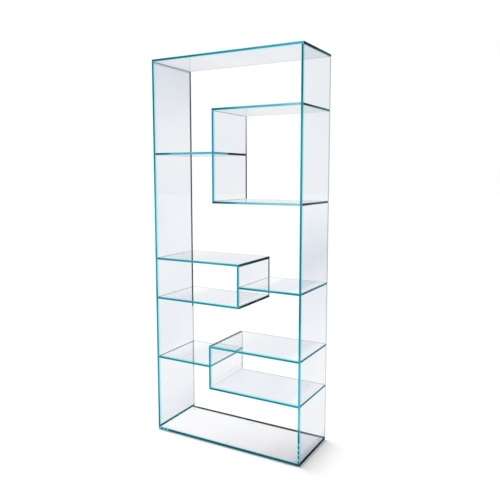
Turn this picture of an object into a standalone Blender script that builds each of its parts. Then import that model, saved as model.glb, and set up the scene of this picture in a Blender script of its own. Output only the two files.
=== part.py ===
"""A tall open bookcase of clear glass panes, bonded edge to face with no visible hardware.

Metres, +Z up. The origin is the middle of the footprint, on the floor. The front looks along -Y,
and left and right are those of someone who stands in front of it.
"""

import math

import bmesh
import bpy

# Outer sizes of the case
case_width = 0.900
case_depth = 0.350

# Glass stock, its ground edge and the joints between panes
glass_thickness = 0.012
arris_width = 0.001
bond_thickness = 0.0003
seat_gap = 0.0003

# Clear heights between panes, from the base upwards
height_under_lower_box = 0.294
height_in_lower_box = 0.220
height_between_lower_and_middle_box = 0.225
height_in_middle_box = 0.213
height_between_middle_and_upper_box = 0.313
height_in_upper_box = 0.468
height_over_upper_box = 0.268

# Clear widths inside the three boxes
width_in_upper_box = 0.492
width_in_middle_box = 0.521
width_in_lower_box = 0.521

# Clear heights from the level of a box's floor up to the shelf that meets the box's wall outside
rise_to_upper_left_shelf = 0.246
rise_to_middle_right_shelf = 0.095
rise_to_lower_left_shelf = 0.111

# Clear pads under the base
floor_clearance = 0.003
pad_diameter = 0.022
pad_inset = 0.035
pad_rim = 0.0006
pad_segments = 32

# What every pane and joint shares
joint = seat_gap + bond_thickness + seat_gap
half_width = case_width / 2
half_depth = case_depth / 2
pad_thickness = floor_clearance - seat_gap


def clear_scene():
    for thing in list(bpy.data.objects):
        bpy.data.objects.remove(thing, do_unlink=True)


def material(name, color, roughness, transmission, ior):
    made = bpy.data.materials.new(name)
    made.use_nodes = True
    shader = made.node_tree.nodes["Principled BSDF"]
    shader.inputs["Base Color"].default_value = (*color, 1.0)
    shader.inputs["Roughness"].default_value = roughness
    shader.inputs["Metallic"].default_value = 0.0
    shader.inputs["Transmission Weight"].default_value = transmission
    shader.inputs["IOR"].default_value = ior
    made.diffuse_color = (*color, 1.0)
    return made


def add_object(name, mesh, finish, location):
    thing = bpy.data.objects.new(name, mesh)
    thing.data.materials.append(finish)
    thing.location = location
    bpy.context.scene.collection.objects.link(thing)
    return thing


def block_mesh(name, size, arris):
    """A block about its own middle, with its twelve edges ground to a flat arris where one is given."""
    shape = bmesh.new()
    bmesh.ops.create_cube(shape, size=1.0)
    bmesh.ops.scale(shape, vec=size, verts=shape.verts)
    if arris:
        bmesh.ops.bevel(
            shape,
            geom=list(shape.edges),
            offset=arris,
            offset_type="WIDTH",
            segments=1,
            profile=0.5,
            affect="EDGES",
            clamp_overlap=True,
            material=-1,
        )
    mesh = bpy.data.meshes.new(name)
    shape.to_mesh(mesh)
    shape.free()
    return mesh


class Pane:
    """One sheet of glass as deep as the case, by its four faces seen from the front."""

    def __init__(self, name, left, right, bottom, top):
        self.name = name
        self.left = left
        self.right = right
        self.bottom = bottom
        self.top = top
        size = (right - left, case_depth, top - bottom)
        middle = ((left + right) / 2, 0.0, (bottom + top) / 2)
        add_object(name, block_mesh(name, size, arris_width), clear_glass, middle)


def level_pane(name, left, right, bottom):
    return Pane(name, left, right, bottom, bottom + glass_thickness)


def upright_pane(name, left, below, above):
    """A pane that stands between the faces of two others, a joint away from each."""
    return Pane(name, left, left + glass_thickness, below.top + joint, above.bottom - joint)


def bond(ended, faced):
    """The film of cured adhesive between the end of one pane and the face of another."""
    land = glass_thickness - 2 * arris_width
    length = case_depth - 2 * arris_width
    if ended.right < faced.left:
        middle = ((ended.right + faced.left) / 2, 0.0, (ended.bottom + ended.top) / 2)
        size = (bond_thickness, length, land)
    elif faced.right < ended.left:
        middle = ((faced.right + ended.left) / 2, 0.0, (ended.bottom + ended.top) / 2)
        size = (bond_thickness, length, land)
    elif ended.top < faced.bottom:
        middle = ((ended.left + ended.right) / 2, 0.0, (ended.top + faced.bottom) / 2)
        size = (land, length, bond_thickness)
    else:
        middle = ((ended.left + ended.right) / 2, 0.0, (faced.top + ended.bottom) / 2)
        size = (land, length, bond_thickness)
    name = f"bond_{ended.name}_to_{faced.name}"
    add_object(name, block_mesh(name, size, 0.0), cured_adhesive, middle)


def pad_mesh():
    """A low round pad on the floor: a turned profile with a softened rim above and below."""
    radius = pad_diameter / 2
    profile = (
        (0.0, 0.0),
        (radius - pad_rim, 0.0),
        (radius, pad_rim),
        (radius, pad_thickness - pad_rim),
        (radius - pad_rim, pad_thickness),
        (0.0, pad_thickness),
    )
    shape = bmesh.new()
    corners = [shape.verts.new((across, 0.0, up)) for across, up in profile]
    outline = [shape.edges.new(pair) for pair in zip(corners, corners[1:])]
    bmesh.ops.spin(
        shape,
        geom=corners + outline,
        cent=(0.0, 0.0, 0.0),
        axis=(0.0, 0.0, 1.0),
        angle=2 * math.pi,
        steps=pad_segments,
        use_merge=True,
    )
    bmesh.ops.remove_doubles(shape, verts=shape.verts, dist=1e-6)
    bmesh.ops.recalc_face_normals(shape, faces=shape.faces)
    mesh = bpy.data.meshes.new("floor_pad")
    shape.to_mesh(mesh)
    shape.free()
    mesh.shade_smooth()
    mesh.set_sharp_from_angle(angle=math.radians(30))
    return mesh


def build_pads():
    mesh = pad_mesh()
    across = {"left": pad_inset - half_width, "middle": 0.0, "right": half_width - pad_inset}
    along = {"front": pad_inset - half_depth, "back": half_depth - pad_inset}
    for row, y in along.items():
        for side, x in across.items():
            add_object(f"floor_pad_{row}_{side}", mesh, clear_pad, (x, y, 0.0))


clear_scene()
clear_glass = material("clear_glass", (0.66, 0.86, 0.88), 0.02, 1.0, 1.52)
cured_adhesive = material("cured_adhesive", (0.05, 0.14, 0.15), 0.10, 0.4, 1.50)
clear_pad = material("clear_pad", (0.72, 0.76, 0.77), 0.35, 0.6, 1.49)

# Levels of the undersides of the level panes, stacked from the floor
base_level = floor_clearance
lower_floor_level = base_level + glass_thickness + height_under_lower_box
lower_top_level = lower_floor_level + glass_thickness + height_in_lower_box
middle_floor_level = lower_top_level + glass_thickness + height_between_lower_and_middle_box
middle_top_level = middle_floor_level + glass_thickness + height_in_middle_box
upper_floor_level = middle_top_level + glass_thickness + height_between_middle_and_upper_box
upper_top_level = upper_floor_level + glass_thickness + height_in_upper_box
case_top_level = upper_top_level + glass_thickness + height_over_upper_box

# The case: a base, two sides that stand on it, and a top that lies over them
base = level_pane("base", -half_width, half_width, base_level)
top = level_pane("top", -half_width, half_width, case_top_level)
left_side = upright_pane("left_side", -half_width, base, top)
right_side = upright_pane("right_side", half_width - glass_thickness, base, top)

# The upper box hangs on the right side
upper_wall_face = right_side.left - width_in_upper_box
upper_wall_outer = upper_wall_face - glass_thickness
upper_box_right = right_side.left - joint
upper_box_floor = level_pane("upper_box_floor", upper_wall_outer, upper_box_right, upper_floor_level)
upper_box_top = level_pane("upper_box_top", upper_wall_outer, upper_box_right, upper_top_level)
upper_box_wall = upright_pane("upper_box_wall", upper_wall_outer, upper_box_floor, upper_box_top)

# The middle box hangs on the left side
middle_wall_face = left_side.right + width_in_middle_box
middle_box_left = left_side.right + joint
middle_box_right = middle_wall_face + glass_thickness
middle_box_floor = level_pane("middle_box_floor", middle_box_left, middle_box_right, middle_floor_level)
middle_box_top = level_pane("middle_box_top", middle_box_left, middle_box_right, middle_top_level)
middle_box_wall = upright_pane("middle_box_wall", middle_wall_face, middle_box_floor, middle_box_top)

# The lower box hangs on the right side
lower_wall_face = right_side.left - width_in_lower_box
lower_wall_outer = lower_wall_face - glass_thickness
lower_box_right = right_side.left - joint
lower_box_floor = level_pane("lower_box_floor", lower_wall_outer, lower_box_right, lower_floor_level)
lower_box_top = level_pane("lower_box_top", lower_wall_outer, lower_box_right, lower_top_level)
lower_box_wall = upright_pane("lower_box_wall", lower_wall_outer, lower_box_floor, lower_box_top)

# Three short shelves, each from a side of the case to the outer face of a box's wall
upper_left_shelf = level_pane(
    "upper_left_shelf",
    left_side.right + joint,
    upper_box_wall.left - joint,
    upper_box_floor.top + rise_to_upper_left_shelf,
)
middle_right_shelf = level_pane(
    "middle_right_shelf",
    middle_box_wall.right + joint,
    right_side.left - joint,
    middle_box_floor.top + rise_to_middle_right_shelf,
)
lower_left_shelf = level_pane(
    "lower_left_shelf",
    left_side.right + joint,
    lower_box_wall.left - joint,
    lower_box_floor.top + rise_to_lower_left_shelf,
)

# Every joint, as the pane whose end is bonded and the pane whose face takes it
for side in (left_side, right_side):
    bond(side, base)
    bond(side, top)
for wall, floor, lid, side in (
    (upper_box_wall, upper_box_floor, upper_box_top, right_side),
    (middle_box_wall, middle_box_floor, middle_box_top, left_side),
    (lower_box_wall, lower_box_floor, lower_box_top, right_side),
):
    bond(wall, floor)
    bond(wall, lid)
    bond(floor, side)
    bond(lid, side)
for shelf, side, wall in (
    (upper_left_shelf, left_side, upper_box_wall),
    (middle_right_shelf, right_side, middle_box_wall),
    (lower_left_shelf, left_side, lower_box_wall),
):
    bond(shelf, side)
    bond(shelf, wall)

build_pads()
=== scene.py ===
# %% [markdown]
# # A glass bookcase, from bare panes to a finished picture
# The bookcase is sixteen sheets of 12 mm float glass, bonded end to face, on small clear pads. This
# script takes the packed model as a fixed frame, gives each sheet its ground edges and its finish, and
# sets up the floor, the light and the camera.

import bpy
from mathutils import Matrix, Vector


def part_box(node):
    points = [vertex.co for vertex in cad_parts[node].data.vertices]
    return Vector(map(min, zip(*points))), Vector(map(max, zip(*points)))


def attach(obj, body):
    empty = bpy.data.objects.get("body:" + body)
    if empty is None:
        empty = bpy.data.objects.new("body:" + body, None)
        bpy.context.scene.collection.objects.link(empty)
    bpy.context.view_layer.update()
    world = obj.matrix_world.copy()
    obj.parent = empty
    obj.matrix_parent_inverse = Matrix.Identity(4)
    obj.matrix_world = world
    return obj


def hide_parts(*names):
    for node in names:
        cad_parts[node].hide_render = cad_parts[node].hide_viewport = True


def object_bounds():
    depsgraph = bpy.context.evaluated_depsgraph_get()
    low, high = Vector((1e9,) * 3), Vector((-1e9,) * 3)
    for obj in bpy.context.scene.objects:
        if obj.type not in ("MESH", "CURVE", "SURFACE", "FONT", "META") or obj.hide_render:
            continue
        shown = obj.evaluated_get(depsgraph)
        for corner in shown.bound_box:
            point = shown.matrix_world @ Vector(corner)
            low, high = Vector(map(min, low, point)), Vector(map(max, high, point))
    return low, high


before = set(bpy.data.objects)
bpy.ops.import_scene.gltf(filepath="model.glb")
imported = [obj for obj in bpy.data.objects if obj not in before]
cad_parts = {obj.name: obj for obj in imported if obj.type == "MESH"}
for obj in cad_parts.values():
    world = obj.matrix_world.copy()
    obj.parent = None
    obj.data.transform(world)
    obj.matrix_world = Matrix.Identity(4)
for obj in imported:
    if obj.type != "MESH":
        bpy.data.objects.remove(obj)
cad_low, cad_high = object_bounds()
print("nodes", len(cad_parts), "from", tuple(cad_low), "to", tuple(cad_high))

# %% [markdown]
# ## The camera
# The photograph looks at the front from the right, from a little above the middle of the case. Its place
# and its lens come from fitting the corners of the case, so they are written as they came out: a place
# in metres, a turn to the left and a tilt down in degrees, and a lens in millimetres. The small shift
# brings in the whole height of the case without tilting the camera further.

# %% Place the camera
import math

import bmesh
import bpy
from mathutils import Vector

camera_place = Vector((1.562, -2.675, 1.479))
camera_turn = 29.243
camera_tilt = -6.591
lens_length = 40.72
lens_shift = -0.020
sensor_width = 36.0

camera = bpy.data.objects.new("camera", bpy.data.cameras.new("camera"))
bpy.context.scene.collection.objects.link(camera)
camera.location = camera_place
camera.rotation_euler = (math.radians(90 + camera_tilt), 0.0, math.radians(camera_turn))
camera.data.sensor_width = sensor_width
camera.data.lens = lens_length
camera.data.shift_y = lens_shift
camera.data.dof.use_dof = False
bpy.context.scene.camera = camera
bpy.context.scene.view_settings.view_transform = "Standard"
print("camera at", tuple(camera_place), "lens", lens_length, "mm")

# %% [markdown]
# ## Shader maths in plain expressions
# A material is a graph of nodes. Wiring every sum by hand hides what the sum is, so a small class wraps
# one output of a node and lets Python's own operators add the Math nodes. Each operator has its
# reflected form too, so that `1 - mask` works as well as `mask - 1`.

# %% Wrap one output of a node
class Wire:
    """One output of a node. Sums with it add Math nodes to its graph."""

    def __init__(self, paint, socket):
        self.paint = paint
        self.socket = socket

    def maths(self, operation, first, second):
        return self.paint.node("ShaderNodeMath", {"operation": operation}, {0: first, 1: second})

    def __add__(self, other):
        return self.maths("ADD", self, other)

    def __radd__(self, other):
        return self.maths("ADD", other, self)

    def __sub__(self, other):
        return self.maths("SUBTRACT", self, other)

    def __rsub__(self, other):
        return self.maths("SUBTRACT", other, self)

    def __mul__(self, other):
        return self.maths("MULTIPLY", self, other)

    def __rmul__(self, other):
        return self.maths("MULTIPLY", other, self)

    def __abs__(self):
        return self.maths("ABSOLUTE", self, 0.0)

    def above(self, other):
        return self.maths("MAXIMUM", self, other)


print("a wire has", ", ".join(name for name, thing in vars(Wire).items() if callable(thing)))

# %% [markdown]
# ## One graph
# `Paint` holds the graph of one material, or of the world. Its `node` makes any kind of node: first its
# settings, then the values and links of its sockets. The other methods are the few joints and patterns
# that several finishes share.

# %% Hold a graph
class Paint:
    """The node graph of a material or of the world."""

    def __init__(self, owner):
        owner.use_nodes = True
        self.tree = owner.node_tree
        self.tree.nodes.clear()

    def node(self, kind, settings, inputs, output=0):
        made = self.tree.nodes.new(kind)
        for name, value in settings.items():
            if name == "stops":
                self.set_stops(made.color_ramp, value)
            else:
                setattr(made, name, value)
        for name, value in inputs.items():
            if isinstance(value, Wire):
                self.tree.links.new(value.socket, made.inputs[name])
            else:
                made.inputs[name].default_value = value
        return Wire(self, made.outputs[output]) if made.outputs else made

    def set_stops(self, ramp, stops):
        while len(ramp.elements) < len(stops):
            ramp.elements.new(1.0)
        for element, (place, color) in zip(ramp.elements, stops):
            element.position = place
            element.color = (*color, 1.0)

    def blend(self, share, first, second):
        """The mix of two colours, all of the second where share is 1. A Mix node keeps its sockets for
        colours behind those for numbers and vectors, so they are found by place."""
        return self.node("ShaderNodeMix", {"data_type": "RGBA"}, {0: share, 6: first, 7: second}, 2)

    def noise(self, place, scale, detail=2.0):
        return self.node(
            "ShaderNodeTexNoise", {}, {"Vector": place, "Scale": scale, "Detail": detail}, "Fac"
        )

    def between(self, value, low, high):
        """0 where value is low, 1 where it is high, and smooth in between."""
        return self.node(
            "ShaderNodeMapRange",
            {"interpolation_type": "SMOOTHSTEP"},
            {"Value": value, "From Min": low, "From Max": high},
        )

    def either(self, first, second, share):
        return self.node("ShaderNodeMixShader", {}, {0: share, 1: first, 2: second})

    def lamps_through(self, shader, passing):
        """The shader, with the passing one in its place for the rays that bring light to other things."""
        for name in ("Is Shadow Ray", "Is Diffuse Ray"):
            shader = self.either(shader, passing, self.node("ShaderNodeLightPath", {}, {}, name))
        return shader

    def finish(self, shader, kind="ShaderNodeOutputMaterial"):
        self.node(kind, {}, {"Surface": shader})


def rgba(color):
    return (*color, 1.0)


print("one grey as a socket takes it", rgba((0.5, 0.5, 0.5)))

# %% [markdown]
# ## The sky
# The photograph was taken on white. White behind a thing is not the same as light on it: here the sky is
# full white wherever the camera looks, also through glass or in a reflection, and dimmer for the light
# that it sheds. A Light Path node tells these rays apart.

# %% Light the sky
sky_light = 0.50
white = (1.0, 1.0, 1.0)


def seen_directly(paint):
    """1 for rays that make up the picture: from the camera, in a mirror or through glass."""
    seen = paint.node("ShaderNodeLightPath", {}, {}, "Is Camera Ray")
    for name in ("Is Glossy Ray", "Is Transmission Ray"):
        seen = seen.above(paint.node("ShaderNodeLightPath", {}, {}, name))
    return seen


def light_sky():
    world = bpy.data.worlds.new("studio")
    bpy.context.scene.world = world
    paint = Paint(world)
    strength = sky_light + seen_directly(paint) * (1.0 - sky_light)
    sky = paint.node("ShaderNodeBackground", {}, {"Color": rgba(white), "Strength": strength})
    paint.finish(sky, "ShaderNodeOutputWorld")
    world.cycles.sampling_method = "NONE"


light_sky()
print("the sky sheds", sky_light, "of the light that it shows")

# %% [markdown]
# ## The sun
# Soft light comes mostly from the left and a little from behind. It throws a short shadow to the right
# of the foot and a narrow one in front of the base. A sun as wide as a big soft box does that. It is
# kept out of mirrors and out of the view through glass, where it would show as a bright disc. Sky and
# sun together light a level surface about as bright as its colour is written.

# %% Hang the sun
sun_light = 2.20
sun_width = 40.0
sun_turn = -112.0
sun_height = 46.0


def hang_sun():
    sun = bpy.data.lights.new("soft_sun", "SUN")
    sun.energy = sun_light
    sun.angle = math.radians(sun_width)
    lamp = bpy.data.objects.new("soft_sun", sun)
    lamp.rotation_euler = (math.radians(90 - sun_height), 0.0, math.radians(sun_turn))
    lamp.visible_glossy = False
    lamp.visible_transmission = False
    bpy.context.scene.collection.objects.link(lamp)


hang_sun()
print("the sun stands", sun_height, "degrees up and is", sun_width, "degrees wide")

# %% [markdown] ## The floor The floor is a wide pale disc. It glows a little to the rays that make up
# the picture, just enough to meet the white sky without a seam, and it keeps the shadow.

# %% Lay the floor
floor_radius = 40.0
floor_segments = 64
floor_color = (0.98, 0.98, 0.98)
floor_glow = 0.055


def floor_paper():
    paper = bpy.data.materials.new("pale_floor")
    paint = Paint(paper)
    matt = paint.node("ShaderNodeBsdfDiffuse", {}, {"Color": rgba(floor_color)})
    glow = paint.node("ShaderNodeEmission", {}, {"Color": rgba(white), "Strength": floor_glow})
    glowing = paint.node("ShaderNodeAddShader", {}, {0: matt, 1: glow})
    paint.finish(paint.either(matt, glowing, seen_directly(paint)))
    return paper


def lay_floor():
    shape = bmesh.new()
    bmesh.ops.create_circle(shape, cap_ends=True, radius=floor_radius, segments=floor_segments)
    mesh = bpy.data.meshes.new("floor")
    shape.to_mesh(mesh)
    shape.free()
    floor = bpy.data.objects.new("floor", mesh)
    bpy.context.scene.collection.objects.link(floor)
    floor.data.materials.append(floor_paper())


lay_floor()
print("floor radius", floor_radius, "m")

# %% [markdown]
# ## Clear glass for the broad faces
# Looked at face on, a sheet takes only a little of the light, a touch more of the red. Light crosses two
# faces of a sheet, so each tint counts twice. One Principled shader with full transmission would do, but
# it mirrors the white studio as strongly as bare glass does, and that veils every dark line behind it.
# In the photograph the sheets hardly mirror at all, so refraction and gloss are two shaders here.

# %% Bend light through glass, or let it straight through
glass_ior = 1.52
clear_tint = (0.998, 0.999, 1.000)


def bent_through(paint, tint):
    return paint.node(
        "ShaderNodeBsdfRefraction", {}, {"Color": rgba(tint), "Roughness": 0.0, "IOR": glass_ior}
    )


def straight_through(paint, tint):
    return paint.node("ShaderNodeBsdfTransparent", {}, {"Color": rgba(tint)})


print("glass has an index of", glass_ior)

# %% [markdown]
# ## What the lamps see
# Lamps look for a straight way to a surface and find none through glass that bends light, so for their
# rays the glass is plainly transparent. Low down, at the foot of the case, each face takes about a third
# of their light, for a soft shadow beside it. The base takes most of it in a line along its front and
# its right end, where it all but touches the floor, for a narrow contact shadow.

# %% Let the lamps shine through
lamp_tint = (0.998, 0.999, 1.000)
foot_tint = (0.68, 0.67, 0.69)
foot_height = 0.20
contact_tint = (0.03, 0.15, 0.18)
contact_width = 0.022
half_width = cad_high.x
half_depth = cad_high.y


def place_along(paint, axis):
    """Where a point lies on one axis, in metres from the middle of the case's footprint."""
    place = paint.node("ShaderNodeTexCoord", {}, {}, "Object")
    return paint.node("ShaderNodeSeparateXYZ", {}, {"Vector": place}, axis)


def contact_line(paint):
    """1 along the front and the right end of the base, where it all but touches the floor."""
    front = paint.between(place_along(paint, "Y"), contact_width - half_depth, -half_depth)
    return front.above(paint.between(place_along(paint, "X"), half_width - contact_width, half_width))


def lit_past_contact(paint, tint):
    """What lamps see of the base: the tint, but next to nothing along the contact line."""
    return paint.either(
        straight_through(paint, tint), straight_through(paint, contact_tint), contact_line(paint)
    )


def lit_past_foot(paint):
    """What lamps see of any other sheet: hardly a tint, but grey glass at the foot of the case."""
    foot = paint.between(place_along(paint, "Z"), foot_height, 0.0)
    return paint.either(straight_through(paint, lamp_tint), straight_through(paint, foot_tint), foot)


print("contact line", contact_width, "m wide, foot", foot_height, "m high")

# %% [markdown]
# ## Painted light on a face
# Three attributes on the mesh say what a face shows at each place. Its shade is painted shade and
# painted reflection of the studio. The tail is a painted dark line where a back edge shows inside the
# face. The joint is where adhesive shows through. Slow noise lets the painted shade drift a little, as
# the studio does behind real glass. Close to the front edge the face also gets a painted pale blue rim,
# the colour of that edge as the glass would bend it into view.

# %% Paint shade, rim light and joints on the faces
face_values = ("shade", "tail", "joint")
# The next colours are painted. The first two are the deepest painted shade, painted shadow and painted
# reflection, for the sheets and for the base. The rim colour is painted pale blue light, and the tail
# colour is painted dark.
full_painted_shade = (0.806, 0.833, 0.874)
base_painted_shade = (0.51, 0.507, 0.55)
painted_rim_light = (0.42, 0.88, 0.97)
painted_tail_dark = (0.12, 0.13, 0.15)
joint_tint = (0.05, 0.30, 0.32)
drift_scale = 2.2
drift_range = (0.30, 0.70)
drift_swing = 0.12
tail_core = 0.6


def drifting(paint, shade, fade):
    """The painted shade with its slow drift. Fade makes its deepest parts fade to the back."""
    place = paint.node("ShaderNodeTexCoord", {}, {}, "Object")
    drift = paint.between(paint.noise(place, drift_scale, detail=1.0), *drift_range)
    faded = 1.0 - shade * paint.between(place_along(paint, "Y"), -half_depth, half_depth) * fade
    return shade * faded * (1.0 - drift_swing + drift * (2.0 * drift_swing))


def face_with_painted_light(paint, rim_width, painted_shade_color, tail_width, fade):
    shade, tail, joint = (
        paint.node("ShaderNodeAttribute", {"attribute_name": name}, {}, "Fac") for name in face_values
    )
    depth = place_along(paint, "Y")
    rim = paint.between(depth, rim_width - half_depth, -half_depth)
    tail = tail * paint.between(depth, half_depth - tail_width, half_depth - tail_core * tail_width)
    glass = bent_through(paint, clear_tint)
    for tint, share in (
        (painted_shade_color, drifting(paint, shade, fade)),
        (painted_rim_light, rim),
        (painted_tail_dark, tail),
        (joint_tint, joint),
    ):
        glass = paint.either(glass, bent_through(paint, tint), share)
    return glass


print("a face is tinted by", ", ".join(face_values))

# %% [markdown]
# ## The four kinds of glass
# The gloss is mixed in by Fresnel, and held back to a share of what bare glass mirrors. A ray that has
# gone through five sheets goes straight through the rest, since a renderer gives up on a ray that is
# bent too often. Uprights and level sheets differ in their painted rim and their gloss. The wall of the
# lower box mirrors fully, and the base has a darker painted shade and throws the contact shadow.

# %% Mix the clear glass
most_crossings = 10


def clear_glass(
    name, rim_width, mirror, painted_shade_color=full_painted_shade, tail_width=0.010, fade=0.0, on_floor=False
):
    """Glass with painted shade, a painted dark tail, a joint, and a painted rim of light of a width at
    the front, which mirrors a share of what bare glass does. On the floor, its front and its right end
    throw a contact shadow too."""
    made = bpy.data.materials.new(name)
    paint = Paint(made)
    glass = face_with_painted_light(paint, rim_width, painted_shade_color, tail_width, fade)
    gloss = paint.node("ShaderNodeBsdfGlossy", {}, {"Roughness": 0.0})
    fresnel = paint.node("ShaderNodeFresnel", {}, {"IOR": glass_ior})
    glass = paint.either(glass, gloss, fresnel * mirror)
    crossed = paint.node("ShaderNodeLightPath", {}, {}, "Transmission Depth")
    straight_on = paint.between(crossed, most_crossings - 1, most_crossings)
    glass = paint.either(glass, straight_through(paint, clear_tint), straight_on)
    passing = lit_past_contact(paint, lamp_tint) if on_floor else lit_past_foot(paint)
    paint.finish(paint.lamps_through(glass, passing))
    return made


upright_glass = clear_glass("upright_glass", rim_width=0.022, mirror=0.18)
glossy_glass = clear_glass("glossy_glass", rim_width=0.022, mirror=1.0)
level_glass = clear_glass("level_glass", rim_width=0.026, mirror=0.25)
base_glass = clear_glass(
    "base_glass",
    rim_width=0.016,
    mirror=0.25,
    painted_shade_color=base_painted_shade,
    tail_width=0.021,
    fade=1.4,
    on_floor=True,
)
print("glass", upright_glass.name, glossy_glass.name, level_glass.name, base_glass.name)

# %% [markdown]
# ## The colours of an edge
# Light that enters a sheet by its edge runs through the length of the glass before it comes out, and
# iron in the glass takes its red on the way. That is why the edges are deep teal while the faces are
# clear. A volume that soaks up light would be the true cause, but at hundreds of bounces a pixel, so the
# edge is painted by its tone, which paints that teal together with the light and shade that each edge
# gathers: black at -1, nearly black at -0.5, teal at 0, bright cyan at 0.6, pale blue at 1 and pale grey
# at 1.5. From there to 2 the paint gives way to clear glass. Stretched noise breaks the tone up along the
# edge.

# %% Colour an edge by its tone
edge_tones = (
    (-1.0, (0.0002, 0.0012, 0.0018)),
    (-0.5, (0.0150, 0.0430, 0.0480)),
    (0.0, (0.0080, 0.2400, 0.2900)),
    (0.3, (0.0190, 0.4000, 0.5100)),
    (0.6, (0.1100, 0.6300, 0.8000)),
    (1.0, (0.4800, 0.9700, 1.0000)),
    (1.5, (0.7500, 0.7900, 0.8300)),
)
darkest_tone = edge_tones[0][0]
palest_tone = edge_tones[-1][0]
slow_scale = (5.0, 0.6)
slow_swing = 0.40
quick_scale = (60.0, 1.0)
quick_swing = 0.25


def along_and_across(paint):
    """The edge map: metres along the edge, and 0 to 1 across it."""
    where = paint.node("ShaderNodeUVMap", {"uv_map": "edge_map"}, {})
    return [paint.node("ShaderNodeSeparateXYZ", {}, {"Vector": where}, axis) for axis in "XY"]


def streaks(paint, scale):
    """Noise with a scale of its own along the edge and another across it."""
    along, across = along_and_across(paint)
    place = paint.node("ShaderNodeCombineXYZ", {}, {"X": along * scale[0], "Y": across * scale[1]})
    return paint.noise(place, scale=1.0)


def edge_tone(paint):
    tone = paint.node("ShaderNodeAttribute", {"attribute_name": "tone"}, {}, "Fac")
    slow = (streaks(paint, slow_scale) - 0.5) * slow_swing
    quick = (streaks(paint, quick_scale) - 0.5) * quick_swing
    return tone + slow + quick


def tone_color(paint, tone):
    tone_range = palest_tone - darkest_tone
    stops = [((place - darkest_tone) / tone_range, color) for place, color in edge_tones]
    share = (tone - darkest_tone) * (1.0 / tone_range)
    return paint.node("ShaderNodeValToRGB", {"stops": stops}, {"Fac": share}, "Color")


print("tones from", darkest_tone, "to", palest_tone)

# %% [markdown]
# ## The ground and polished edge
# The arrises on both sides of an edge catch the sky, so they get painted highlights, bright lines, but
# only where the edge is neither black nor pale already. Fine lines that the polishing wheel left along
# the edge change how rough it is. Gloss would lay a grey veil over so narrow a line, so the paint has
# none. The edge of the base has its own finish: its arrises lie in the shade and get no painted
# highlight, and it keeps the light from the gap under it.

# %% Mix the edge
clear_tones = (1.6, 2.0)
edge_lamp_tint = (0.90, 0.96, 0.97)
# The colour of the painted highlight on the arrises.
arris_highlight = (0.34, 0.96, 1.00)
arris_start = 0.62
arris_comes = (-0.6, 0.0)
arris_goes = (1.3, 0.9)
line_scale = (8.0, 60.0)
edge_roughness = 0.12
line_roughness = 0.16


def with_arrises(paint, core, tone):
    """The colour of the core, with a painted highlight along both its borders."""
    across = along_and_across(paint)[1]
    lit = paint.between(tone, *arris_comes) * paint.between(tone, *arris_goes)
    border = paint.between(abs(across - 0.5) * 2.0, arris_start, 1.0) * lit
    return paint.blend(border, core, rgba(arris_highlight))


def polished_edge(name, on_floor=False):
    """A painted edge that lets most of the lamps' light by, save along the contact line of a base."""
    made = bpy.data.materials.new(name)
    paint = Paint(made)
    tone = edge_tone(paint)
    color = tone_color(paint, tone)
    if on_floor:
        passing = lit_past_contact(paint, edge_lamp_tint)
    else:
        passing = straight_through(paint, edge_lamp_tint)
        color = with_arrises(paint, color, tone)
    roughness = edge_roughness + streaks(paint, line_scale) * line_roughness
    painted = paint.node(
        "ShaderNodeBsdfPrincipled",
        {},
        {"Base Color": color, "Roughness": roughness, "Specular IOR Level": 0.0},
    )
    whole = paint.node(
        "ShaderNodeBsdfGlass", {}, {"Color": rgba(clear_tint), "Roughness": 0.0, "IOR": glass_ior}
    )
    glass = paint.either(painted, whole, paint.between(tone, *clear_tones))
    paint.finish(paint.lamps_through(glass, passing))
    return made


edge_finish = polished_edge("polished_edge")
base_edge_finish = polished_edge("base_edge", on_floor=True)
print("edges", edge_finish.name, base_edge_finish.name)

# %% [markdown]
# ## Values that run along a sheet
# No edge has one colour from end to end. What varies along a sheet is written as stops, pairs of a place
# from 0 to 1 and a value, and in between the value goes in a straight line. Where an edge mirrors the
# joint next to it, it breaks into short light and dark dashes, a painted reflection, which a loop writes
# as stops too.

# %% Write values as stops
dash_blur = 0.1


def even(start, end):
    return ((0.0, start), (1.0, end))


def dashes(start, end, count, first, second):
    """Stops that step from one tone to another and back along a short run."""
    step = (end - start) / (2 * count)
    stops = []
    for number in range(2 * count):
        tone = second if number % 2 else first
        for place in (number + dash_blur, number + 1.0 - dash_blur):
            stops.append((start + step * place, tone))
    return tuple(stops)


def value_at(stops, share):
    """The value between the two stops on either side of a place."""
    for (near, start), (far, end) in zip(stops, stops[1:]):
        if share <= far:
            return start + (end - start) * (share - near) / (far - near)
    return stops[-1][1]


print("a dark and a light dash", dashes(0.0, 1.0, 1, -0.5, 0.5))
print("halfway from 2 to 3", value_at(even(2.0, 3.0), 0.5))

# %% [markdown]
# ## A block with ground edges
# A cut sheet has edges like knives, so all twelve are ground to a narrow flat, the arris, which
# `bmesh.ops.bevel` does. `bisect_plane` then cuts the block across at each stop, so that a value can
# change course there, and flat faces stay flat.

# %% Grind a block and cut it
arris_width = 0.001
cut_reach = 1e-6


def ground_block(low, high):
    """A block between two corners, with its twelve edges ground to an arris."""
    shape = bmesh.new()
    bmesh.ops.create_cube(shape, size=1.0)
    bmesh.ops.scale(shape, vec=high - low, verts=shape.verts)
    bmesh.ops.translate(shape, vec=(low + high) / 2, verts=shape.verts)
    bmesh.ops.bevel(
        shape,
        geom=shape.edges[:],
        offset=arris_width,
        offset_type="WIDTH",
        segments=1,
        profile=0.5,
        affect="EDGES",
        clamp_overlap=True,
        material=-1,
    )
    return shape


def cut_across(shape, place, axis):
    """Cuts the whole shape by a plane through a place, square to an axis."""
    bmesh.ops.bisect_plane(
        shape,
        geom=shape.verts[:] + shape.edges[:] + shape.faces[:],
        dist=cut_reach,
        plane_co=place,
        plane_no=[float(axis == other) for other in range(3)],
    )


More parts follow.
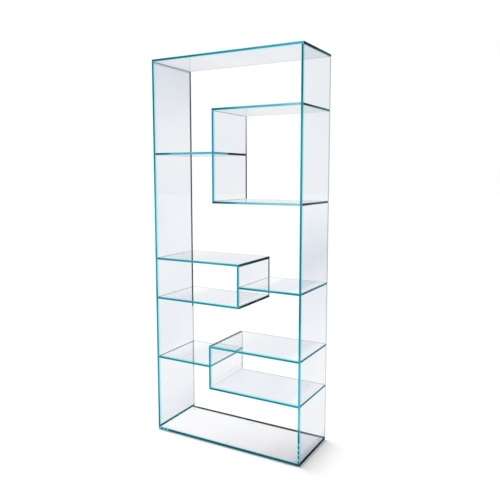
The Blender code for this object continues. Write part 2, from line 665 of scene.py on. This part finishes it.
top_low, top_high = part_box("top")
trial = ground_block(top_low, top_high)
print("a ground block has", len(trial.faces), "faces")
cut_across(trial, (top_low + top_high) / 2, 0)
print("and once cut across", len(trial.faces))
trial.free()

# %% [markdown]
# ## A sheet in place of a node
# The CAD node already has the right size and place, but one node holds one material, and glass needs at
# least two, for its faces and for its edges. So a new sheet stands for each node, and takes its corners
# from the node's box. The values go on its mesh as attributes, which the finishes read, and an edge map
# lets the noise run along each edge. A seed moves the noise on from sheet to sheet.

# %% Build a sheet
seed_step = 10.0
flatness = 0.99


class Sheet:
    """One sheet of glass in place of a CAD node, with its edge map, its tones and its shade, which paint
    its light and shade. Front, back, shade, tail and joint run from its left or lower end to the other.
    First and last, the two ends, run from the front to the back. The tail is a painted dark line where
    the back edge shows inside the face, and joint the dark of a joint."""

    def __init__(self, front, back=even(1.5, 1.5), first=even(-0.8, -0.4), last=even(-0.8, -0.4),
                 shade=even(0.4, 0.4), tail=even(0.0, 0.0), joint=even(0.0, 0.0), glass=level_glass,
                 edge=edge_finish):
        self.lengthwise = {"front": front, "back": back, "shade": shade, "tail": tail, "joint": joint}
        self.ends = {"first": first, "last": last}
        self.glass = glass
        self.edge = edge

    def measure(self, node, number):
        self.seed = seed_step * number
        self.low, self.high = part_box(node)
        self.size = self.high - self.low
        self.thin = min(range(3), key=lambda axis: self.size[axis])
        self.long = 2 if self.thin == 0 else 0

    def share_along(self, place, axis):
        return (place[axis] - self.low[axis]) / self.size[axis]

    def cut(self, shape):
        """Cuts the block across at every stop between its ends."""
        for axis, runs in ((self.long, self.lengthwise), (1, self.ends)):
            for share in sorted({share for stops in runs.values() for share, value in stops[1:-1]}):
                place = self.low.copy()
                place[axis] += share * self.size[axis]
                cut_across(shape, place, axis)

    def shade_faces(self, shape):
        for name in face_values:
            layer = shape.verts.layers.float.new(name)
            for vert in shape.verts:
                vert[layer] = value_at(self.lengthwise[name], self.share_along(vert.co, self.long))

    def tone_at(self, face, place):
        """How light or dark the edge is painted at a place, by the way its face looks."""
        if abs(face.normal[1]) > abs(face.normal[self.long]):
            side = "front" if face.normal[1] < 0 else "back"
            return value_at(self.lengthwise[side], self.share_along(place, self.long))
        end = "first" if face.normal[self.long] < 0 else "last"
        return value_at(self.ends[end], self.share_along(place, 1))

    def map_edges(self, shape):
        """Runs the edge map along each edge and across it, and writes the tones."""
        layer = shape.loops.layers.uv.new("edge_map")
        tone = shape.loops.layers.float.new("tone")
        for face in shape.faces:
            along = self.long if abs(face.normal[1]) > abs(face.normal[self.long]) else 1
            face.material_index = 0 if abs(face.normal[self.thin]) > flatness else 1
            for loop in face.loops:
                place = loop.vert.co
                loop[layer].uv = (place[along] + self.seed, self.share_along(place, self.thin))
                loop[tone] = self.tone_at(face, place)

    def build(self, node, number):
        self.measure(node, number)
        shape = ground_block(self.low, self.high)
        self.cut(shape)
        self.shade_faces(shape)
        self.map_edges(shape)
        mesh = bpy.data.meshes.new(f"sheet_{node}")
        shape.to_mesh(mesh)
        shape.free()
        sheet = bpy.data.objects.new(f"sheet_{node}", mesh)
        bpy.context.scene.collection.objects.link(sheet)
        mesh.materials.append(self.glass)
        mesh.materials.append(self.edge)
        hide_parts(node)
        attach(sheet, "root")
        return sheet


print("along a sheet run", ", ".join(Sheet(front=even(0.0, 0.0)).lengthwise))

# %% [markdown]
# ## The look of the base and the top
# No two edges in the photograph look alike, because each one gathers light from another part of the
# studio, so each sheet gets its own tones, which are painted light and shade, and its own shade, how much
# painted shade and painted reflection its faces have. The base is a dark teal line with painted light
# and dark dashes at its left end. Its back edge throws a painted dark line into its face, and the
# painted shade of that face grows darker to the right. The top grows lighter to the right along its
# front.

# %% Describe the base and the top
looks = {
    "base": Sheet(
        front=((0.0, 0.1), *dashes(0.01, 0.09, 3, 0.6, -0.1), (0.1, -0.18), (0.5, -0.22), (1.0, -0.26)),
        back=even(-1.1, -1.1),
        first=even(-0.3, -0.2),
        last=((0.0, -1.2), (0.5, -0.9), (1.0, -0.35)),
        shade=((0.0, 0.05), (0.28, 0.07), (0.44, 0.11), (0.58, 0.15), (0.72, 0.21), (0.80, 0.29),
               (0.89, 0.32), (0.94, 0.37), (1.0, 0.52)),
        tail=((0.0, 0.6), (0.08, 0.95), (0.80, 1.0), (0.90, 0.75), (1.0, 0.65)),
        glass=base_glass,
        edge=base_edge_finish,
    ),
    "top": Sheet(
        front=((0.0, -0.18), (0.12, -0.16), (0.2, 0.0), (0.35, 0.12), (0.5, 0.2), (0.7, 0.36),
               (1.0, 0.5)),
        first=even(-0.7, -0.6),
        last=even(-0.65, -0.25),
        shade=((0.0, 0.50), (0.4, 0.33), (1.0, 0.48)),
    ),
}
print("described", *looks)

# %% [markdown]
# ## The look of the two sides
# The back edge of the left side is painted pale low down, and dark from a third of its height. The right
# side stands nearest. Its front edge is broken into dashes near the foot, a painted reflection of the
# joint below it, then bright, then teal from a third of its height.

# %% Describe the sides
looks |= {
    "left_side": Sheet(
        front=((0.0, -0.2), (0.08, 0.0), (0.14, 0.2), (0.24, 0.0), (0.33, 0.15), (0.39, -0.2),
               (0.42, 0.2), (0.48, 0.2), (0.5, -0.15), (0.52, 0.3), (0.6, 0.3), (0.75, 0.0),
               (0.9, -0.2), (1.0, -0.12)),
        back=((0.0, 1.5), (0.31, 1.5), (0.315, -0.9), (1.0, -0.8)),
        first=((0.0, -0.6), (0.3, -0.3), (1.0, -0.2)),
        shade=((0.0, 0.65), (0.05, 0.56), (0.12, 0.43), (0.17, 0.36), (0.20, 0.36), (0.23, 0.47),
               (0.6, 0.48), (0.75, 0.36), (0.9, 0.58), (1.0, 0.80)),
        tail=((0.0, 0.1), (0.12, 0.1), (0.13, 0.5), (0.195, 0.45), (0.205, 0.15), (0.31, 0.15),
              (0.315, 1.0), (0.9, 1.0), (1.0, 0.85)),
        joint=((0.0, 1.0), (0.004, 1.0), (0.006, 0.0), (0.994, 0.0), (0.996, 0.25), (1.0, 0.25)),
        glass=upright_glass,
    ),
    "right_side": Sheet(
        front=((0.0, -0.1), *dashes(0.001, 0.052, 4, -0.1, 0.65), (0.054, 0.0), (0.066, -0.02),
               (0.076, 0.15), (0.088, 0.35), (0.092, 0.72), (0.135, 0.72), (0.14, 0.5), (0.24, 0.55),
               (0.28, 0.25), (0.33, 0.1), (0.36, -0.2), (0.4, -0.15), (0.43, 0.0), (0.55, 0.08),
               (0.7, 0.28), (0.83, 0.22), (0.9, -0.15), (1.0, 0.0)),
        shade=((0.0, 0.90), (0.01, 0.80), (0.025, 0.34), (0.12, 0.36), (0.17, 0.32), (0.3, 0.38),
               (0.37, 0.56), (0.42, 0.58), (0.45, 0.64), (0.50, 0.82), (0.56, 0.57), (0.64, 0.38),
               (1.0, 0.50)),
        tail=((0.0, 0.0), (0.15, 0.05), (0.3, 0.20), (0.5, 0.30), (1.0, 0.25)),
        glass=upright_glass,
    ),
}
print("described", len(looks), "sheets")

# %% [markdown]
# ## The look of the upper box
# Its two level sheets turn from teal at the wall to pale blue at the right side. The back edge of its
# wall is dark up to half its height, and pale above.

# %% Describe the upper box
looks |= {
    "upper_box_floor": Sheet(
        front=((0.0, -0.35), (0.22, 0.02), (0.32, 0.6), (1.0, 0.95)),
        last=((0.0, -0.85), (0.3, -0.6), (0.5, -0.25), (1.0, -0.1)),
        shade=even(0.34, 0.28),
    ),
    "upper_box_top": Sheet(
        front=((0.0, -0.2), (0.2, 0.15), (0.35, 0.5), (1.0, 0.75)),
        last=even(-0.4, 0.0),
        shade=((0.0, 0.45), (0.25, 0.42), (0.35, 0.32), (1.0, 0.35)),
    ),
    "upper_box_wall": Sheet(
        front=even(0.2, 0.2),
        back=((0.0, -0.9), (0.52, -0.9), (0.54, 1.5), (1.0, 1.5)),
        shade=even(0.38, 0.42),
        tail=((0.0, 0.85), (0.54, 0.85), (1.0, 0.45)),
        glass=upright_glass,
    ),
}
print("described", len(looks), "sheets")

# %% [markdown]
# ## The look of the middle box
# Its right end shows as a dark line, and so does the back edge of its wall. The faces of its level
# sheets have the deepest painted shade in their right half.

# %% Describe the middle box
looks |= {
    "middle_box_floor": Sheet(
        front=((0.0, 0.1), (0.3, 0.15), (1.0, 0.3)),
        last=((0.0, -0.25), (0.2, -0.50), (0.7, -0.55), (1.0, -0.75)),
        shade=((0.0, 0.0), (0.15, 0.04), (0.30, 0.30), (0.4, 0.40), (0.85, 0.42), (0.92, 0.20),
               (1.0, 0.10)),
    ),
    "middle_box_top": Sheet(
        front=((0.0, 0.0), (0.3, 0.2), (0.7, 0.4), (1.0, 0.3)),
        last=((0.0, -0.2), (0.15, -0.45), (0.85, -0.5), (1.0, -0.8)),
        shade=((0.0, 0.25), (0.15, 0.20), (0.5, 0.38), (1.0, 0.42)),
    ),
    "middle_box_wall": Sheet(
        front=even(0.1, 0.15),
        back=even(-0.9, -0.8),
        shade=((0.0, 0.30), (0.48, 0.35), (0.6, 0.47), (1.0, 0.47)),
        tail=even(0.8, 0.85),
        glass=upright_glass,
    ),
}
print("described", len(looks), "sheets")

# %% [markdown]
# ## The look of the lower box
# More light comes in from the side down here. The back edge of its wall is nearly clear, and the wall
# mirrors what is beside it.

# %% Describe the lower box
looks |= {
    "lower_box_floor": Sheet(
        front=((0.0, -0.1), (0.3, 0.0), (1.0, 0.3)),
        first=even(1.4, 1.4),
        last=even(-0.3, -0.2),
        shade=((0.0, 0.55), (0.12, 0.48), (0.4, 0.46), (0.5, 0.50), (0.85, 0.42), (0.93, 0.18),
               (1.0, 0.20)),
    ),
    "lower_box_top": Sheet(
        front=even(0.35, 0.2),
        first=even(-0.4, -0.5),
        last=even(-0.3, -0.2),
        shade=((0.0, 0.15), (0.20, 0.28), (0.30, 0.42), (0.85, 0.42), (0.93, 0.08), (1.0, 0.0)),
    ),
    "lower_box_wall": Sheet(
        front=even(0.1, 0.2),
        back=even(1.85, 1.9),
        first=even(1.5, 1.5),
        shade=((0.0, 0.27), (0.06, 0.27), (0.10, 0.42), (0.2, 0.26), (0.3, 0.25), (0.55, 0.17),
               (1.0, 0.20)),
        tail=even(0.45, 0.1),
        glass=glossy_glass,
    ),
}
print("described", len(looks), "sheets")

# %% [markdown]
# ## The look of the short shelves
# Each runs from a side of the case to the wall of a box. The right end of the upper left one is cyan
# near the front and dark behind. The lower left one shows its joint to the left side in its face.

# %% Describe the short shelves
looks |= {
    "upper_left_shelf": Sheet(
        front=((0.0, -0.3), (0.2, -0.1), (0.32, 0.6), (1.0, 0.5)),
        last=((0.0, 0.6), (0.42, 0.6), (0.46, -0.6), (1.0, -0.6)),
    ),
    "middle_right_shelf": Sheet(
        front=((0.0, 0.0), (0.3, 0.2), (0.5, 0.3), (0.8, 0.25), (1.0, 0.1)),
        last=even(-0.3, -0.2),
        shade=((0.0, 0.02), (0.2, 0.08), (0.38, 0.40), (0.84, 0.42), (0.88, 0.0), (1.0, 0.0)),
    ),
    "lower_left_shelf": Sheet(
        front=((0.0, 0.0), (0.3, 0.1), (1.0, 0.15)),
        last=even(0.5, 0.4),
        shade=((0.0, 0.03), (0.2, 0.10), (0.38, 0.34), (0.62, 0.42), (0.75, 0.38), (0.9, 0.32),
               (1.0, 0.25)),
        joint=((0.0, 0.5), (0.018, 0.5), (0.022, 0.0), (1.0, 0.0)),
    ),
}
print("described", len(looks), "sheets")

# %% [markdown]
# ## The case
# Clear sheets throw next to no shadow. The base and the right side keep theirs, for the soft shadow on
# the floor. The others are out of the way of lamp light altogether, because a ray to a lamp may cross
# only a few faces before it counts as blocked, and the whole case would then throw a grey one.

# %% Build the case
shadow_makers = ("base", "right_side")


def let_light_by(piece):
    """Takes the piece out of the way of the rays that bring light to other things."""
    piece.visible_shadow = False
    piece.visible_diffuse = False


sheets = {node: look.build(node, number) for number, (node, look) in enumerate(looks.items())}
for node, sheet in sheets.items():
    if node not in shadow_makers:
        let_light_by(sheet)
print("sheets", len(sheets), "faces", sum(len(sheet.data.polygons) for sheet in sheets.values()))

# %% [markdown]
# ## The bonds
# A film of adhesive cured by light joins each end to the face that it meets. It has no colour of its
# own, but through the glass the eye looks along the sheet behind it, so it reads as a dark joint, black
# near the front and dark green further back. Lower down, where more light comes in from the side, its
# finish paints that light too: a clear teal, and above and below some walls hardly more than a pale
# grey. The CAD nodes have the right shape and stay, with a new finish in their slot, which takes its
# gradients from Object coordinates.

# %% Finish the bonds
# These colours paint what the eye sees at a bond through the glass: its dark, and the light that comes in
# from the side. The darkest is the painted dark of looking along a whole sheet.
painted_black = (0.0060, 0.0080, 0.0095)
black = (0.0060, 0.0220, 0.0260)
dark_green = (0.0200, 0.1900, 0.1900)
deep_teal = (0.0060, 0.2200, 0.2700)
clear_teal = (0.0220, 0.2800, 0.3600)
pale_teal = (0.0800, 0.4500, 0.5800)
pale_grey = (0.5500, 0.6000, 0.6200)
cool_grey = (0.5100, 0.5700, 0.5900)
dim_green = (0.0450, 0.2200, 0.2300)
dim_blue = (0.0150, 0.1900, 0.2500)
patch_scale = 30.0
patch_depth = 0.05
film_roughness = 0.25
patch_roughness = 0.2


def cured_adhesive(name, front_color, back_color, turn=0.0, width=0.12):
    """An adhesive film that goes from one colour to the other about a depth, over a width."""
    made = bpy.data.materials.new(name)
    paint = Paint(made)
    place = paint.node("ShaderNodeTexCoord", {}, {}, "Object")
    depth = place_along(paint, "Y")
    patches = paint.noise(place, patch_scale)
    share = paint.between(depth + (patches - 0.5) * patch_depth, turn - width, turn + width)
    color = paint.blend(share, rgba(front_color), rgba(back_color))
    roughness = film_roughness + patches * patch_roughness
    film = paint.node(
        "ShaderNodeBsdfPrincipled",
        {},
        {"Base Color": color, "Roughness": roughness, "Specular IOR Level": 0.0},
    )
    paint.finish(film)
    return made


dark_film = cured_adhesive("dark_film", black, dark_green, turn=-0.05)
black_film = cured_adhesive("black_film", black, painted_black)
lit_film = cured_adhesive("lit_film", deep_teal, clear_teal)
pale_film = cured_adhesive("pale_film", pale_teal, clear_teal)
ghost_film = cured_adhesive("ghost_film", pale_grey, cool_grey)
dim_film = cured_adhesive("dim_film", dim_green, dim_blue)
split_film = cured_adhesive("split_film", pale_teal, painted_black, turn=-0.025, width=0.02)
films = {
    "left_side_to_top": black_film,
    "middle_right_shelf_to_right_side": lit_film,
    "lower_box_top_to_right_side": lit_film,
    "lower_box_floor_to_right_side": lit_film,
    "lower_left_shelf_to_left_side": lit_film,
    "lower_left_shelf_to_lower_box_wall": pale_film,
    "lower_box_wall_to_lower_box_top": dim_film,
    "lower_box_wall_to_lower_box_floor": ghost_film,
    "upper_box_wall_to_upper_box_floor": ghost_film,
    "upper_box_wall_to_upper_box_top": ghost_film,
    "upper_left_shelf_to_upper_box_wall": split_film,
}
bonds = {name: piece for name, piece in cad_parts.items() if name.startswith("bond_")}
for name, piece in bonds.items():
    film = films.get(name.removeprefix("bond_"), dark_film)
    piece.material_slots[0].material = film
    let_light_by(piece)
print("bonds", len(bonds))

# %% [markdown]
# ## The pads
# Six clear stick-on pads keep the base off the floor. They are a soft polyurethane: slightly cloudy,
# with a fine orange-peel skin. Against glass such a pad all but vanishes, so most of the light goes
# straight through it. The CAD nodes stay here too.

# %% Finish the pads
pad_color = (0.97, 0.98, 0.99)
pad_cloud_color = (0.90, 0.92, 0.93)
pad_clearness = 0.65
pad_ior = 1.49
pad_roughness = 0.02
cloud_scale = 260.0
cloud_roughness = 0.06
skin_scale = 900.0
skin_strength = 0.15
skin_depth = 0.0002


def clear_pad():
    made = bpy.data.materials.new("clear_pad_rubber")
    paint = Paint(made)
    place = paint.node("ShaderNodeTexCoord", {}, {}, "Object")
    cloud = paint.noise(place, cloud_scale)
    skin = paint.noise(place, skin_scale)
    bumps = paint.node(
        "ShaderNodeBump", {}, {"Strength": skin_strength, "Distance": skin_depth, "Height": skin}
    )
    pad = paint.node(
        "ShaderNodeBsdfPrincipled",
        {},
        {
            "Base Color": paint.blend(cloud, rgba(pad_color), rgba(pad_cloud_color)),
            "Roughness": pad_roughness + cloud * cloud_roughness,
            "IOR": pad_ior,
            "Transmission Weight": 1.0,
            "Normal": bumps,
        },
    )
    pad = paint.either(pad, straight_through(paint, pad_color), pad_clearness)
    paint.finish(paint.lamps_through(pad, straight_through(paint, pad_color)))
    return made


pad_finish = clear_pad()
pads = [piece for name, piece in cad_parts.items() if name.startswith("floor_pad_")]
for piece in pads:
    piece.material_slots[0].material = pad_finish
print("pads", len(pads))

# %% [markdown]
# ## Sizes, and the end
# The dressed model has to stay in the box of the packed one, so both boxes go to a small file.
